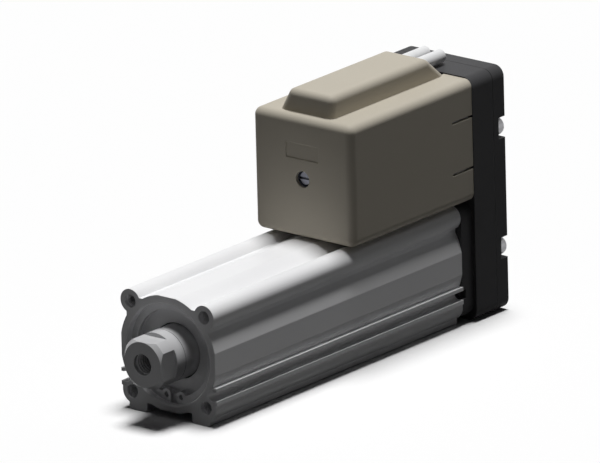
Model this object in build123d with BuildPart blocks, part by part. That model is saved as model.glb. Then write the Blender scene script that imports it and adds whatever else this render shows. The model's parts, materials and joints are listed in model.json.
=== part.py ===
from build123d import *
from math import pi
import os

# Electric rod actuator: a ball screw in an extruded tube pushes a hollow rod, and a step motor
# above the tube turns the screw through a toothed belt at the rear.
# The rod axis is the Y axis and the rod comes out towards -Y. y = 0 is the front mounting face
# of the tube, z = 0 is the rod axis, +Z is up towards the motor. All sizes are in millimetres.

# Travel, and the free play kept at each end of it
stroke = 50.0
end_play = 0.5

# Fits, as radial clearances
running_fit = 0.03
sliding_fit = 0.05
loose_fit = 0.5
bolt_clearance = 0.25
edge_break = 0.4
blind_room = 1.5
hex_depth_share = 0.6
radius_match = 0.01

# Tube: outline
tube_fixed_length = 92.0
barrel_radius = 22.0
barrel_flat = 21.6
bolt_square = 34.0
lobe_radius = 4.5
web_flat = 18.85
side_ledge = 22.0
lip_top = 8.9
lip_bottom = 10.3
ledge_top = 13.8
ledge_bottom = 15.4
groove_radius = 2.0
groove_inset = 19.8
groove_height = 12.0
groove_mouth = 3.5
groove_overcut = 1.0
floor_web = 20.3
foot_spacing = 29.0
foot_width = 8.2
foot_bottom = 24.0
foot_chamfer = 0.8

# Tube: bores and tapped holes
bore_radius = 17.5
mouth_step = 1.5
mouth_chamfer = 0.4
keyway_depth = 1.25
keyway_width = 4.2
keyway_bar = 3.0
bolt_hole_radius = 2.5
front_bolt_depth = 12.0
rear_bolt_depth = 16.0
foot_hole_radius = 2.5
foot_hole_depth = 6.5
foot_hole_first = 20.0
foot_hole_pitch = 42.0

# Front end: retaining ring, rod cover, bush, scraper
ring_front = 2.5
ring_thickness = 1.7
ring_cover = 2.7
ring_groove_depth = 1.2
ring_lug_spread = 3.3
ring_lug_radius = 2.2
ring_lug_hole = 1.0
ring_lug_web = 1.2
ring_gap = 3.0
cover_rim = 2.8
cover_dish_depth = 1.0
scraper_radius = 12.5
scraper_wall = 1.2
scraper_depth = 4.5
scraper_lip = 1.35
scraper_relief = 2.5
bush_radius = 12.0
bush_shoulder = 1.1
seal_groove_width = 2.6
seal_groove_depth = 1.6
seal_groove_rear_wall = 5.0
seal_edge = 0.35
bumper_thickness = 4.0
bumper_inner = 13.5
bumper_chamfer = 0.6

# Rod and its socket
rod_radius = 10.0
rod_bore = 7.0
rod_front = -2.1
socket_length = 12.4
socket_flat = 17.0
socket_flat_length = 7.6
socket_chamfer = 1.5
socket_thread_radius = 4.0
socket_thread_depth = 13.0
shank_length = 14.0

# Piston, nut, rotation stopper, magnet
piston_length = 42.0
piston_gap = 0.7
rod_seat_depth = 11.0
nut_radius = 11.5
nut_length = 28.0
stopper_offset = 16.0
stopper_width = 12.0
stopper_inner = 14.8
stopper_key = 4.1
magnet_offset = 4.0
magnet_width = 5.0
magnet_inner = 14.0
magnet_sink = 0.5

# Screw, its bearing and lock nut
screw_radius = 6.0
journal_radius = 5.0
screw_tip_gap = 4.0
tip_journal_radius = 4.0
tip_journal_length = 8.0
tip_holder_radius = 5.6
tip_ring_inset = 1.5
rear_bumper_thickness = 3.0
neck_half = 21.5
neck_length = 6.3
housing_lip = 8.0
bearing_outer = 13.0
bearing_width = 8.0
ball_radius = 1.9
ball_count = 8
lock_nut_radius = 8.0
lock_nut_width = 4.6
lock_nut_slots = 4
lock_nut_slot_depth = 1.5
lock_nut_slot_width = 2.4
lock_nut_slot_length = 2.0
retainer_inner = 9.5
retainer_length = 2.3

# Belt drive
belt_pitch = 3.0
pulley_teeth = 18
belt_width = 6.0
belt_land = 0.38
belt_back = 1.0
tooth_height = 1.2
tooth_root = 1.9
tooth_tip = 1.2
tooth_play = 0.12
tooth_overlap = 0.5
flange_radius = 10.6
flange_thickness = 0.8
belt_side_play = 0.2
hub_radius = 8.2
hub_length = 3.6
set_screw_radius = 1.5
set_screw_hexagon = 1.5
set_screw_sink = 0.3

# Return box and return plate that close the belt drive
box_floor_gap = 0.5
box_cover_step = 0.5
box_corner = 4.1
box_depth = 12.0
box_wall = 2.2
box_front_wall = 3.0
plate_thickness = 6.8
plate_recess = 4.2
plate_recess_room = 1.6
plate_edge = 0.3
plate_screw_edge = 3.5
plate_screw_centre = 23.2
plate_screw_pitch = 45.6
plate_screw_radius = 2.0
plate_screw_floor = 2.5
plate_boss_radius = 3.6
pocket_radius = 4.05
pocket_depth = 3.8
head_radius = 3.5
head_height = 4.0
head_rounding = 1.4
head_hexagon = 2.5

# Fasteners inside the case
tube_screw_radius = 2.0
tube_screw_head_radius = 3.5
tube_screw_head_height = 4.0
tube_screw_hexagon = 3.0
tube_screw_head_gap = 0.3
motor_screw_square = 31.0
motor_screw_radius = 1.5
motor_screw_head_radius = 2.75
motor_screw_head_height = 2.4
motor_screw_hexagon = 2.5
motor_screw_grip = 4.5
screw_edge = 0.3

# Motor
motor_side = 42.0
motor_corner = 4.5
motor_pilot_radius = 11.0
motor_pilot_height = 2.0
motor_shaft_radius = 2.5
front_bell_length = 10.3
stator_length = 34.0
rear_bell_length = 10.0
rotor_radius = 12.0
rotor_gap = 0.1
rotor_inset = 2.0
motor_bearing_outer = 8.0
motor_bearing_width = 5.0
motor_bearing_race = 1.6
motor_bearing_setback = 1.0
encoder_cap_side = 40.0
encoder_cap_wall = 1.3
encoder_cap_corner = 3.0
encoder_disc_radius = 9.0
encoder_disc_thickness = 1.0
encoder_disc_gap = 1.0
encoder_board_thickness = 1.6
override_radius = 2.4
override_length = 6.0
override_head = 2.2
override_slot = 0.8
override_slot_depth = 1.1

# Motor cover
cover_side_gap = 0.54
cover_tube_gap = 0.9
cover_bottom_gap = 0.2
cover_top_gap = 1.2
cover_length = 69.9
cover_wall = 1.3
cover_edge = 3.0
front_edge_relief = 0.05
cover_gap = 0.2
label_width = 14.8
label_height = 5.8
label_rise = 10.3
label_depth = 0.3
sight_hole_radius = 3.1
tab_height = 19.5
tab_length = 11.7
tab_slit = 1.0
catch_height = 0.9
catch_width = 1.2
catch_length = 15.5
catch_setback = 4.0
catch_play = 0.2
catch_groove_depth = 0.6

# Hump on the cover that the leads run through
hump_left = -13.3
hump_right = 11.45
hump_height = 8.3
hump_lean = 4.7
hump_front = 3.9
hump_rear = 1.1
hump_slope = 9.5
hump_edge = 2.6
hump_slope_edge = 2.0

# Leads
lead_radius = 2.5
lead_spacing = 7.0
lead_centre = -0.9
lead_end = 156.0
lead_bend_room = 0.1
grommet_length = 3.0
grommet_setback = 1.0
grommet_play = 0.1


# Stations along and across the rod axis, worked out from the sizes above
tube_length = tube_fixed_length + stroke
ring_rear = ring_front + ring_thickness
neck_rear = tube_length + neck_length
box_rear = neck_rear + box_depth
plate_rear = box_rear + plate_thickness
bearing_rear = neck_rear - retainer_length
bearing_front = bearing_rear - bearing_width
housing_front = bearing_front - housing_lip
piston_rear = housing_front - rear_bumper_thickness - end_play
piston_front = piston_rear - piston_length
rod_cover_rear = piston_front - stroke - end_play - bumper_thickness
lock_nut_rear = bearing_rear + lock_nut_width
pulley_front = lock_nut_rear + hub_length
pulley_width = belt_width + 2 * belt_side_play + 2 * flange_thickness
pulley_rear = pulley_front + pulley_width
belt_rear = pulley_rear - flange_thickness - belt_side_play
cover_front = neck_rear - cover_length
cap_front = cover_front + cover_wall + cover_gap
bell_front = neck_rear - front_bell_length
stator_front = bell_front - stator_length
rear_bell_front = stator_front - rear_bell_length
pitch_radius = pulley_teeth * belt_pitch / (2 * pi)
pulley_radius = pitch_radius - belt_land
mouth_radius = bore_radius + mouth_step
ring_groove = mouth_radius + ring_groove_depth
ring_inner = mouth_radius - ring_cover
ring_lug_height = ring_inner
cover_dish_radius = mouth_radius - cover_rim
keyway_reach = bore_radius + keyway_depth
piston_radius = bore_radius - piston_gap
magnet_outer = piston_radius - magnet_sink
half_motor = motor_side / 2
shaft_distance = barrel_flat + cover_tube_gap + cover_wall + cover_bottom_gap + half_motor
cover_half_width = half_motor + cover_side_gap + cover_wall
cover_bottom = shaft_distance - half_motor - cover_bottom_gap - cover_wall
cover_top = shaft_distance + half_motor + cover_top_gap + cover_wall
hump_top = cover_top + hump_height
box_width = bolt_square + 2 * (tube_screw_head_radius + tube_screw_head_gap + box_wall)
box_bottom = foot_bottom - box_floor_gap
box_top = cover_top + box_cover_step
box_height = box_top + box_bottom
box_centre = (box_top - box_bottom) / 2
plate_screw_x = box_width / 2 - plate_screw_edge
lead_height = box_top + loose_fit + lead_radius
motor_axis = Axis((0, 0, shaft_distance), (0, 1, 0))


def across(y, height=0.0):
    # sketch plane across the rod axis, x to the right and y up, extruding towards the front
    return Plane(origin=(0, y, height), x_dir=(1, 0, 0), z_dir=(0, -1, 0))


def lengthwise(height=0.0):
    # sketch plane through an axis: x runs to the rear along the axis, y is the radius
    return Plane(origin=(0, 0, height), x_dir=(0, 1, 0), z_dir=(1, 0, 0))


def annulus(y, outer, inner, height=0.0):
    with BuildSketch(across(y, height)) as face:
        Circle(outer)
        Circle(inner, mode=Mode.SUBTRACT)
    return face.sketch


def half_section(points, height=0.0):
    with BuildSketch(lengthwise(height)) as face:
        with BuildLine():
            Polyline(*points, close=True)
        make_face()
    return face.sketch


def rims(piece, radius):
    # the round edges of that radius, front to rear
    circles = piece.edges().filter_by(GeomType.CIRCLE)
    return circles.filter_by(lambda edge: abs(edge.radius - radius) < radius_match).sort_by(Axis.Y)


def socket_screw(x, y, z, facing, head, shank, rounding=screw_edge):
    # a screw seated at (x, y, z) with its head on the side that facing gives: +1 rear, -1 front
    # head is (radius, height, size across the hexagon), shank is (radius, length)
    seat = Plane(origin=(x, y, z), x_dir=(1, 0, 0), z_dir=(0, facing, 0))
    with BuildPart() as screw:
        with BuildSketch(seat):
            Circle(head[0])
        extrude(amount=head[1])
        fillet(screw.faces().sort_by(Axis(seat.origin, seat.z_dir))[-1].edges(), rounding)
        with BuildSketch(seat.offset(head[1])):
            RegularPolygon(head[2] / 2, 6, major_radius=False)
        extrude(amount=-head[1] * hex_depth_share, mode=Mode.SUBTRACT)
        with BuildSketch(seat):
            Circle(shank[0])
        extrude(amount=-shank[1])
    return screw.part


def corners(square, height=0.0):
    half = square / 2
    return [(x, height + z) for x in (-half, half) for z in (-half, half)]


# Tube
with BuildPart() as tube_body:
    with BuildSketch(across(tube_length)) as tube_section:
        Circle(barrel_radius)
        Rectangle(2 * barrel_flat, 2 * barrel_flat, mode=Mode.INTERSECT)
        Rectangle(2 * web_flat, 2 * web_flat)
        with GridLocations(bolt_square, bolt_square, 2, 2):
            Circle(lobe_radius)
        with Locations((0, -floor_web / 2)):
            Rectangle(foot_spacing + foot_width, floor_web)
        lobe_reach = bolt_square / 2 + lobe_radius
        with Locations((0, -(ledge_top + bolt_square / 2) / 2)):
            Rectangle(2 * lobe_reach, bolt_square / 2 - ledge_top)
        with Locations((0, -(ledge_top + ledge_bottom) / 2)):
            Rectangle(2 * side_ledge, ledge_bottom - ledge_top)
        with Locations((0, -(lip_top + lip_bottom) / 2)):
            Rectangle(2 * side_ledge, lip_bottom - lip_top)
        with Locations((0, -(web_flat + foot_bottom) / 2)):
            with GridLocations(foot_spacing, 0, 2, 1):
                Rectangle(foot_width, foot_bottom - web_flat)
        chamfer(tube_section.vertices().group_by(Axis.Y)[0], foot_chamfer)
        with Locations((-groove_inset, -groove_height), (groove_inset, -groove_height)):
            Circle(groove_radius, mode=Mode.SUBTRACT)
        groove_run = side_ledge - groove_inset + groove_overcut
        with Locations(
            (-groove_inset - groove_run / 2, -groove_height),
            (groove_inset + groove_run / 2, -groove_height),
        ):
            Rectangle(groove_run, groove_mouth, mode=Mode.SUBTRACT)
        Circle(bore_radius, mode=Mode.SUBTRACT)
        with PolarLocations(keyway_reach - keyway_bar / 2, 2, start_angle=45, angular_range=180):
            Rectangle(keyway_bar, keyway_width, mode=Mode.SUBTRACT)
    extrude(amount=tube_length)
    with BuildSketch(across(rod_cover_rear)):
        Circle(mouth_radius)
    extrude(amount=rod_cover_rear, mode=Mode.SUBTRACT)
    with BuildSketch(across(ring_rear)):
        Circle(ring_groove)
    extrude(amount=ring_thickness, mode=Mode.SUBTRACT)
    chamfer(rims(tube_body, mouth_radius)[0], mouth_chamfer)
    with BuildSketch(across(front_bolt_depth)):
        with GridLocations(bolt_square, bolt_square, 2, 2):
            Circle(bolt_hole_radius)
    extrude(amount=front_bolt_depth, mode=Mode.SUBTRACT)
    with BuildSketch(across(tube_length)):
        with GridLocations(bolt_square, bolt_square, 2, 2):
            Circle(tube_screw_radius)
    extrude(amount=rear_bolt_depth, mode=Mode.SUBTRACT)
    with BuildSketch(Plane.XY.offset(-foot_bottom)):
        with Locations((0, foot_hole_first + foot_hole_pitch / 2)):
            with GridLocations(foot_spacing, foot_hole_pitch, 2, 2):
                Circle(foot_hole_radius)
    extrude(amount=foot_hole_depth, mode=Mode.SUBTRACT)

# Retaining ring, an internal circlip with its lugs at the bottom
with BuildPart() as retaining_ring:
    with BuildSketch(across(ring_rear)):
        Circle(ring_groove)
        Circle(ring_inner, mode=Mode.SUBTRACT)
        with Locations((-ring_lug_spread, -ring_lug_height), (ring_lug_spread, -ring_lug_height)):
            Circle(ring_lug_radius)
        with Locations((0, -(ring_lug_height + ring_groove) / 2)):
            Rectangle(2 * (ring_lug_spread + ring_lug_web), ring_groove - ring_lug_height - ring_lug_web)
        with Locations((0, -ring_groove)):
            Rectangle(ring_gap, ring_groove, mode=Mode.SUBTRACT)
        with Locations((-ring_lug_spread, -ring_lug_height), (ring_lug_spread, -ring_lug_height)):
            Circle(ring_lug_hole, mode=Mode.SUBTRACT)
    extrude(amount=ring_thickness)

# Rod cover, which closes the tube's mouth and guides the rod
cover_face = ring_rear + cover_dish_depth
scraper_front = cover_face + scraper_wall
scraper_rear = scraper_front + scraper_depth
bush_front = scraper_rear + bush_shoulder
with BuildPart() as rod_cover:
    revolve(
        half_section([
            (ring_rear, cover_dish_radius),
            (ring_rear, mouth_radius),
            (rod_cover_rear - seal_groove_rear_wall - seal_groove_width, mouth_radius),
            (rod_cover_rear - seal_groove_rear_wall - seal_groove_width, mouth_radius - seal_groove_depth),
            (rod_cover_rear - seal_groove_rear_wall, mouth_radius - seal_groove_depth),
            (rod_cover_rear - seal_groove_rear_wall, mouth_radius),
            (rod_cover_rear, mouth_radius),
            (rod_cover_rear, bush_radius),
            (bush_front, bush_radius),
            (bush_front, rod_radius + loose_fit),
            (scraper_rear, rod_radius + loose_fit),
            (scraper_rear, scraper_radius),
            (scraper_front, scraper_radius),
            (scraper_front, rod_radius + loose_fit),
            (cover_face, rod_radius + loose_fit),
            (cover_face, cover_dish_radius),
        ]),
        axis=Axis.Y,
    )

# Sealing ring in the rod cover's groove
with BuildPart() as cover_o_ring:
    extrude(
        annulus(rod_cover_rear - seal_groove_rear_wall, mouth_radius, mouth_radius - seal_groove_depth),
        amount=seal_groove_width,
    )
    chamfer(cover_o_ring.edges(), seal_edge)

# Plain bush that carries the rod
with BuildPart() as rod_bush:
    extrude(annulus(rod_cover_rear, bush_radius, rod_radius + running_fit), amount=rod_cover_rear - bush_front)
    chamfer(rims(rod_bush, rod_radius + running_fit), edge_break)

# Scraper that keeps dirt off the rod, in a groove behind the rod cover's front wall
with BuildPart() as rod_scraper:
    revolve(
        half_section([
            (scraper_front, scraper_radius),
            (scraper_rear, scraper_radius),
            (scraper_rear, rod_radius + loose_fit),
            (scraper_front + scraper_relief, rod_radius + loose_fit),
            (scraper_front + scraper_lip, rod_radius + running_fit),
            (scraper_front, rod_radius + running_fit),
        ]),
        axis=Axis.Y,
    )

# Bumpers at the two ends of the travel
with BuildPart() as front_bumper:
    extrude(annulus(rod_cover_rear + bumper_thickness, bore_radius, bumper_inner), amount=bumper_thickness)
    chamfer(front_bumper.faces().sort_by(Axis.Y)[-1].edges(), bumper_chamfer)

with BuildPart() as rear_bumper:
    extrude(annulus(housing_front, bore_radius, bumper_inner), amount=rear_bumper_thickness)
    chamfer(rear_bumper.faces().sort_by(Axis.Y)[0].edges(), bumper_chamfer)

# Piston, which ties the nut to the rod
stopper_front = piston_front + stopper_offset
magnet_front = piston_front + magnet_offset
nut_front = piston_rear - nut_length
with BuildPart() as piston:
    revolve(
        half_section([
            (piston_front, rod_radius),
            (piston_front, piston_radius),
            (magnet_front, piston_radius),
            (magnet_front, magnet_inner),
            (magnet_front + magnet_width, magnet_inner),
            (magnet_front + magnet_width, piston_radius),
            (stopper_front, piston_radius),
            (stopper_front, stopper_inner),
            (stopper_front + stopper_width, stopper_inner),
            (stopper_front + stopper_width, piston_radius),
            (piston_rear, piston_radius),
            (piston_rear, nut_radius),
            (nut_front, nut_radius),
            (nut_front, rod_bore),
            (piston_front + rod_seat_depth, rod_bore),
            (piston_front + rod_seat_depth, rod_radius),
        ]),
        axis=Axis.Y,
    )

# Magnet ring that the switches in the side grooves sense
with BuildPart() as magnet_ring:
    extrude(annulus(magnet_front + magnet_width, magnet_outer, magnet_inner), amount=magnet_width)

# Rotation stopper, a slide ring with two keys that run in the tube's keyways
with BuildPart() as rotation_stopper:
    with BuildSketch(across(stopper_front + stopper_width)):
        Circle(bore_radius - sliding_fit)
        with PolarLocations(keyway_reach - sliding_fit - keyway_bar / 2, 2, start_angle=45, angular_range=180):
            Rectangle(keyway_bar, stopper_key)
        Circle(stopper_inner, mode=Mode.SUBTRACT)
    extrude(amount=stopper_width)

# Ball nut, screwed into the piston
with BuildPart() as screw_nut:
    extrude(annulus(piston_rear, nut_radius, screw_radius + sliding_fit), amount=nut_length)
    chamfer(screw_nut.edges(), edge_break)

# Hollow piston rod and the socket screwed into its front end
rod_rear = piston_front + rod_seat_depth
with BuildPart() as piston_rod:
    extrude(annulus(rod_rear, rod_radius, rod_bore), amount=rod_rear - rod_front)

socket_front = rod_front - socket_length
with BuildPart() as rod_socket:
    with BuildSketch(across(rod_front)):
        Circle(rod_radius)
    extrude(amount=socket_length)
    chamfer(rod_socket.faces().sort_by(Axis.Y)[0].edges(), socket_chamfer)
    flat_rear = socket_front + socket_flat_length
    with BuildSketch(across(flat_rear)):
        Circle(2 * rod_radius)
        Rectangle(socket_flat, socket_flat, mode=Mode.SUBTRACT)
    extrude(amount=socket_flat_length, mode=Mode.SUBTRACT)
    with BuildSketch(across(rod_front + shank_length)):
        Circle(rod_bore)
    extrude(amount=shank_length)
    chamfer(rod_socket.faces().sort_by(Axis.Y)[-1].edges(), edge_break)
    with BuildSketch(across(socket_front + socket_thread_depth)):
        Circle(socket_thread_radius)
    extrude(amount=socket_thread_depth, mode=Mode.SUBTRACT)

# Lead screw with a stepped journal at each end
screw_front = rod_front + shank_length + screw_tip_gap
tip_rear = screw_front + tip_journal_length
with BuildPart() as lead_screw:
    revolve(
        half_section([
            (screw_front, 0),
            (screw_front, tip_journal_radius),
            (tip_rear, tip_journal_radius),
            (tip_rear, screw_radius),
            (bearing_front, screw_radius),
            (bearing_front, journal_radius),
            (pulley_rear, journal_radius),
            (pulley_rear, 0),
        ]),
        axis=Axis.Y,
    )
    chamfer(lead_screw.edges().filter_by(GeomType.CIRCLE).sort_by(Axis.Y)[-1], edge_break)

# Holder and slide ring that steady the screw's tip inside the rod
with BuildPart() as screw_tip_holder:
    extrude(annulus(tip_rear, tip_holder_radius, tip_journal_radius), amount=tip_journal_length)
with BuildPart() as screw_tip_ring:
    extrude(
        annulus(tip_rear - tip_ring_inset, rod_bore - sliding_fit, tip_holder_radius),
        amount=tip_journal_length - 2 * tip_ring_inset,
    )

# Bearing housing between tube and return box: a spigot in the tube's bore and the black neck behind it
with BuildPart() as bearing_housing:
    with BuildSketch(across(neck_rear)):
        RectangleRounded(2 * neck_half, 2 * neck_half, lobe_radius)
        with GridLocations(bolt_square, bolt_square, 2, 2):
            Circle(tube_screw_radius + bolt_clearance, mode=Mode.SUBTRACT)
    extrude(amount=neck_length)
    with BuildSketch(across(tube_length)):
        Circle(bore_radius)
    extrude(amount=tube_length - housing_front)
    with BuildSketch(across(neck_rear)):
        Circle(screw_radius + 2 * loose_fit)
    extrude(amount=neck_rear - housing_front, mode=Mode.SUBTRACT)
    with BuildSketch(across(neck_rear)):
        Circle(bearing_outer)
    extrude(amount=neck_rear - bearing_front, mode=Mode.SUBTRACT)
    # the switch grooves run out in a short notch on each side of the neck
    with BuildSketch(across(tube_length + groove_radius)):
        with Locations((-groove_inset, -groove_height), (groove_inset, -groove_height)):
            Circle(groove_radius)
        with Locations((-neck_half, -groove_height), (neck_half, -groove_height)):
            Rectangle(2 * (neck_half - groove_inset), groove_mouth)
    extrude(amount=groove_radius, mode=Mode.SUBTRACT)

# Ball bearing that carries the screw
ball_circle = (bearing_outer + journal_radius) / 2
race_gap = ball_radius + sliding_fit
with BuildPart() as screw_bearing_outer_ring:
    extrude(annulus(bearing_rear, bearing_outer, ball_circle + race_gap), amount=bearing_width)
with BuildPart() as screw_bearing_inner_ring:
    extrude(annulus(bearing_rear, ball_circle - race_gap, journal_radius), amount=bearing_width)
with BuildPart() as screw_bearing_balls:
    with Locations(across(bearing_front + bearing_width / 2)):
        with PolarLocations(ball_circle, ball_count):
            Sphere(ball_radius)

# Retainer behind the bearing, and the lock nut on the screw
with BuildPart() as bearing_retainer:
    extrude(annulus(neck_rear, bearing_outer, retainer_inner), amount=retainer_length)
with BuildPart() as bearing_lock_nut:
    extrude(annulus(lock_nut_rear, lock_nut_radius, journal_radius), amount=lock_nut_width)
    with BuildSketch(across(lock_nut_rear)):
        with PolarLocations(lock_nut_radius, lock_nut_slots):
            Rectangle(2 * lock_nut_slot_depth, lock_nut_slot_width)
    extrude(amount=lock_nut_slot_length, mode=Mode.SUBTRACT)

# Return box, an open tray that holds the belt drive and carries tube and motor
plate_screw_points = [
    (x, plate_screw_centre + z)
    for x in (-plate_screw_x, plate_screw_x)
    for z in (-plate_screw_pitch / 2, plate_screw_pitch / 2)
]
tube_screw_points = corners(bolt_square)
motor_screw_points = corners(motor_screw_square, shaft_distance)
plate_screw_depth = box_depth - plate_screw_floor
with BuildPart() as return_box:
    with BuildSketch(across(box_rear)):
        with Locations((0, box_centre)):
            RectangleRounded(box_width, box_height, box_corner)
    extrude(amount=box_depth)
    with BuildSketch(across(box_rear)):
        with Locations((0, box_centre)):
            RectangleRounded(box_width - 2 * box_wall, box_height - 2 * box_wall, box_corner - box_wall)
        for x, z in plate_screw_points:
            side = 1 if x > 0 else -1
            with Locations((x, z)):
                Circle(plate_boss_radius, mode=Mode.SUBTRACT)
            with Locations((x + side * plate_boss_radius / 2, z)):
                Rectangle(plate_boss_radius, 2 * plate_boss_radius, mode=Mode.SUBTRACT)
    extrude(amount=box_depth - box_front_wall, mode=Mode.SUBTRACT)
    with BuildSketch(across(box_rear)):
        Circle(retainer_inner)
        with Locations((0, shaft_distance)):
            Circle(motor_pilot_radius + sliding_fit)
        with Locations(*tube_screw_points):
            Circle(tube_screw_radius + bolt_clearance)
        with Locations(*motor_screw_points):
            Circle(motor_screw_radius + sliding_fit)
    extrude(amount=box_depth, mode=Mode.SUBTRACT)
    with BuildSketch(across(box_rear)):
        with Locations(*plate_screw_points):
            Circle(plate_screw_radius)
    extrude(amount=plate_screw_depth, mode=Mode.SUBTRACT)

# Return plate that closes the box at the rear, with a side pocket for each screw
with BuildPart() as return_plate:
    with BuildSketch(across(plate_rear)):
        with Locations((0, box_centre)):
            RectangleRounded(box_width, box_height, box_corner)
    extrude(amount=plate_thickness)
    fillet(return_plate.faces().sort_by(Axis.Y)[-1].edges(), plate_edge)
    with BuildSketch(across(box_rear + plate_recess)):
        with Locations((0, shaft_distance / 2)):
            SlotCenterToCenter(shaft_distance, 2 * (flange_radius + plate_recess_room), rotation=90)
    extrude(amount=plate_recess, mode=Mode.SUBTRACT)
    with BuildSketch(across(plate_rear)):
        for x, z in plate_screw_points:
            side = 1 if x > 0 else -1
            with Locations((x, z)):
                Circle(pocket_radius)
            with Locations((x + side * pocket_radius, z)):
                Rectangle(2 * pocket_radius, 2 * pocket_radius)
    extrude(amount=pocket_depth, mode=Mode.SUBTRACT)
    with BuildSketch(across(plate_rear)):
        with Locations(*plate_screw_points):
            Circle(plate_screw_radius + sliding_fit)
    extrude(amount=plate_thickness, mode=Mode.SUBTRACT)

# Screws: return plate to box, box and neck to tube, motor to box
plate_seat = plate_rear - pocket_depth
with BuildPart() as return_plate_screws:
    for x, z in plate_screw_points:
        add(socket_screw(
            x, plate_seat, z, 1, (head_radius, head_height, head_hexagon),
            (plate_screw_radius, plate_seat - box_rear + plate_screw_depth - blind_room), rounding=head_rounding,
        ))

tube_seat = neck_rear + box_front_wall
with BuildPart() as tube_screws:
    for x, z in tube_screw_points:
        add(socket_screw(
            x, tube_seat, z, 1, (tube_screw_head_radius, tube_screw_head_height, tube_screw_hexagon),
            (tube_screw_radius, tube_seat - tube_length + rear_bolt_depth - blind_room),
        ))

with BuildPart() as motor_mount_screws:
    for x, z in motor_screw_points:
        add(socket_screw(
            x, tube_seat, z, 1, (motor_screw_head_radius, motor_screw_head_height, motor_screw_hexagon),
            (motor_screw_radius, box_front_wall + motor_screw_grip),
        ))

# Toothed pulleys. A pulley has a hub in front with a set screw, two flanges, and the belt between them
tooth_step = 360 / pulley_teeth
hub_middle = pulley_front - hub_length / 2


def tooth_outline(play, depth):
    root = tooth_root / 2 + play
    tip = tooth_tip / 2 + play
    return [
        (tooth_overlap, -root), (0, -root), (-depth, -tip), (-depth, tip), (0, root), (tooth_overlap, root),
    ]


def pulley(height, shaft_radius):
    with BuildPart() as wheel:
        with BuildSketch(across(pulley_rear, height)):
            Circle(pulley_radius)
            with PolarLocations(pulley_radius, pulley_teeth, start_angle=tooth_step / 2):
                Polygon(*tooth_outline(tooth_play, tooth_height + tooth_play), align=None, mode=Mode.SUBTRACT)
        extrude(amount=pulley_width)
        with BuildSketch(across(pulley_rear, height), across(pulley_front + flange_thickness, height)):
            Circle(flange_radius)
        extrude(amount=flange_thickness)
        with BuildSketch(across(pulley_front, height)):
            Circle(hub_radius)
        extrude(amount=hub_length)
        with BuildSketch(across(pulley_rear, height)):
            Circle(shaft_radius)
        extrude(amount=pulley_width + hub_length, mode=Mode.SUBTRACT)
        with BuildSketch(Plane(origin=(0, hub_middle, height), z_dir=(0, 0, 1))):
            Circle(set_screw_radius)
        extrude(amount=hub_radius, mode=Mode.SUBTRACT)
    return wheel.part


def set_screw(height, shaft_radius):
    with BuildPart() as screw:
        with BuildSketch(Plane(origin=(0, hub_middle, height + shaft_radius), z_dir=(0, 0, 1))):
            Circle(set_screw_radius)
            RegularPolygon(set_screw_hexagon / 2, 6, major_radius=False, mode=Mode.SUBTRACT)
        extrude(amount=hub_radius - shaft_radius - set_screw_sink)
    return screw.part


with BuildPart() as screw_pulley:
    add(pulley(0, journal_radius))
with BuildPart() as motor_pulley:
    add(pulley(shaft_distance, motor_shaft_radius))
with BuildPart() as screw_pulley_set_screw:
    add(set_screw(0, journal_radius))
with BuildPart() as motor_pulley_set_screw:
    add(set_screw(shaft_distance, motor_shaft_radius))

# Toothed belt round both pulleys, with a tooth at every pitch of its inner face
land_radius = pulley_radius + sliding_fit
straight_teeth = round(shaft_distance / belt_pitch)
with BuildPart() as timing_belt:
    with BuildSketch(across(belt_rear)):
        with Locations((0, shaft_distance / 2)):
            SlotCenterToCenter(shaft_distance, 2 * (land_radius + belt_back), rotation=90)
            SlotCenterToCenter(shaft_distance, 2 * land_radius, rotation=90, mode=Mode.SUBTRACT)
        tooth = tooth_outline(0, tooth_height)
        for index in range(pulley_teeth // 2):
            turn = (index + 0.5) * tooth_step
            with Locations(Location((0, shaft_distance), turn)):
                with Locations((land_radius, 0)):
                    Polygon(*tooth, align=None)
            with Locations(Location((0, 0), 180 + turn)):
                with Locations((land_radius, 0)):
                    Polygon(*tooth, align=None)
        for index in range(straight_teeth):
            station = (index + 0.5) * shaft_distance / straight_teeth
            with Locations((land_radius, station)):
                Polygon(*tooth, align=None)
            with Locations(Location((-land_radius, station), 180)):
                Polygon(*tooth, align=None)
    extrude(amount=belt_width)

# Step motor: two end bells, stator, rotor on its shaft, bearings
def motor_block(y_rear, length, screw_play):
    with BuildPart() as block:
        with BuildSketch(across(y_rear, shaft_distance)) as outline:
            Rectangle(motor_side, motor_side)
            chamfer(outline.vertices(), motor_corner)
            with GridLocations(motor_screw_square, motor_screw_square, 2, 2):
                Circle(motor_screw_radius + screw_play, mode=Mode.SUBTRACT)
        extrude(amount=length)
    return block.part


front_bearing_rear = neck_rear - motor_bearing_setback
rear_bearing_rear = stator_front
shaft_hole = motor_shaft_radius + 3 * loose_fit
catch_rear = neck_rear - catch_setback
with BuildPart() as motor_front_bell:
    add(motor_block(neck_rear, front_bell_length, 0))
    with BuildSketch(across(neck_rear + motor_pilot_height, shaft_distance)):
        Circle(motor_pilot_radius)
    extrude(amount=motor_pilot_height)
    with BuildSketch(across(neck_rear + motor_pilot_height, shaft_distance)):
        Circle(shaft_hole)
    extrude(amount=motor_pilot_height + front_bell_length, mode=Mode.SUBTRACT)
    with BuildSketch(across(front_bearing_rear, shaft_distance)):
        Circle(motor_bearing_outer)
    extrude(amount=front_bearing_rear - bell_front, mode=Mode.SUBTRACT)
    with BuildSketch(across(catch_rear + catch_play, shaft_distance)):
        with Locations((-motor_side / 2, 0), (motor_side / 2, 0)):
            Rectangle(2 * catch_groove_depth, tab_height)
    extrude(amount=catch_width + 2 * catch_play, mode=Mode.SUBTRACT)
with BuildPart() as motor_stator:
    add(motor_block(bell_front, stator_length, sliding_fit))
    with BuildSketch(across(bell_front, shaft_distance)):
        Circle(rotor_radius)
    extrude(amount=stator_length, mode=Mode.SUBTRACT)
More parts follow.
